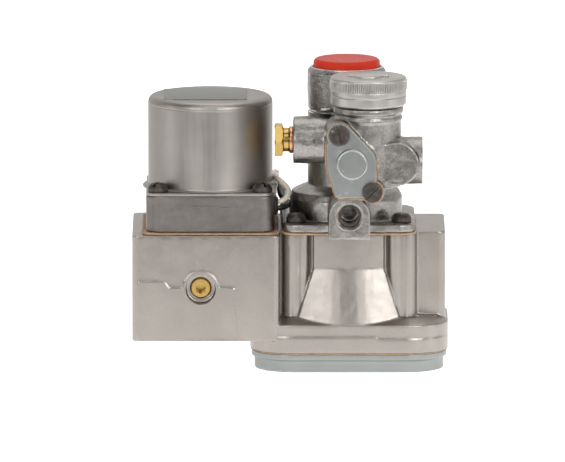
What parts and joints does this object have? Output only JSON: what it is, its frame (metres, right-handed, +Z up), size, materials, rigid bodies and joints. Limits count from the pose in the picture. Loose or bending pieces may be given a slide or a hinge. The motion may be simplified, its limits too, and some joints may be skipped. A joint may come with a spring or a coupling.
{
  "type": "gas valve",
  "caption": "Combination gas valve with a reset button and safety shut-off, a gas cock knob, a pilot outlet and a second solenoid valve under a round can, for threaded gas pipe.",
  "frame": {"origin": "centre of the bottom of the valve's bounding box, on the underside of the bottom cover (the free lead wires left out)", "axes": "+X right along the gas pipe, +Y towards the back, +Z up along the button and solenoid axes"},
  "size_m": [0.1466, 0.1348, 0.1427],
  "materials": {
    "cast_body": "as-cast, fine satin grain",
    "cast_bonnet": "rough as-cast, slightly dulled",
    "base_metal": "darker as-cast block with mould lines",
    "zinc": "matt grey zinc plate",
    "can_steel": "drawn steel, vertical draw marks",
    "knob_metal": "satin, knurled rim",
    "screw_black": "black oxide, oily sheen",
    "steel": "turned",
    "soft_iron": "ground",
    "spring_steel": "bright wire",
    "brass": "turned, bright",
    "copper": "enamelled copper wire",
    "gasket": "brown fibre, cut edge",
    "seal_rubber": "nitrile rubber",
    "bushing_rubber": "moulded rubber",
    "button_red": "glossy red",
    "bobbin_plastic": "glass-filled nylon",
    "filter_felt": "pressed felt",
    "foil": "plain foil plate",
    "lead_white": "cream insulation",
    "lead_black": "black insulation",
    "tie_plastic": "nylon tie"
  },
  "bodies": {
    "valve": {"main_body": "cast_body", "tap_plug": "brass", "bottom_gasket": "gasket", "bottom_cover": "zinc", "bottom_cover_screws": "screw_black", "magnet_core": "soft_iron", "magnet_coil": "copper", "thermocouple_bushing": "brass", "bonnet_gasket": "gasket", "bonnet": "cast_bonnet", "bonnet_screws": "screw_black", "stem_seal": "seal_rubber", "reset_housing": "cast_bonnet", "retaining_clip": "spring_steel", "brass_plug": "brass", "filter_gasket": "gasket", "filter_cover": "zinc", "filter_cover_screws": "screw_black", "pilot_filter": "filter_felt", "solenoid_gasket": "gasket", "solenoid_base": "base_metal", "solenoid_cover": "can_steel", "solenoid_cover_screws": "screw_black", "nameplate": "foil", "coil_bobbin": "bobbin_plastic", "coil_winding": "copper", "flux_washer": "soft_iron", "armature_tube": "brass", "solenoid_stop": "soft_iron", "lead_bushing": "bushing_rubber", "lead_white": "lead_white", "lead_white_coil": "lead_white", "lead_white_tie": "tie_plastic", "lead_black": "lead_black", "lead_black_coil": "lead_black", "lead_black_tie": "tie_plastic", "reset_spring": "spring_steel", "safety_spring": "spring_steel", "plunger_spring": "spring_steel"},
    "reset": {"reset_button": "button_red", "reset_stem": "steel", "interrupter_disc": "seal_rubber"},
    "safety": {"safety_disc": "seal_rubber", "safety_armature": "soft_iron"},
    "plunger": {"plunger": "soft_iron", "valve_disc": "seal_rubber"},
    "cock": {"cock_knob": "knob_metal", "cock_plug": "brass", "cock_spring": "spring_steel"}
  },
  "joints": [
    {"name": "reset_press", "type": "slide", "parent": "valve", "child": "reset", "axis": [0, 0, -1], "range_m": [0, 0.005], "stiffness_N_per_m": 1500, "springref_m": -0.004, "deforming": ["reset_spring"]},
    {"name": "safety_open", "type": "slide", "parent": "valve", "child": "safety", "axis": [0, 0, -1], "range_m": [0, 0.005], "stiffness_N_per_m": 500, "springref_m": -0.004, "deforming": ["safety_spring"]},
    {"name": "plunger_lift", "type": "slide", "parent": "valve", "child": "plunger", "axis": [0, 0, 1], "range_m": [0, 0.0035], "stiffness_N_per_m": 500, "springref_m": -0.004, "deforming": ["plunger_spring"]},
    {"name": "cock_turn", "type": "hinge", "parent": "valve", "child": "cock", "pos_m": [0.0361, -0.0261, 0.11], "axis": [0, 0, 1], "range_deg": [0, 90]}
  ],
  "couplings": [
    {"joint": "safety_open", "follows": "reset_press", "ratio": 1}
  ]
}
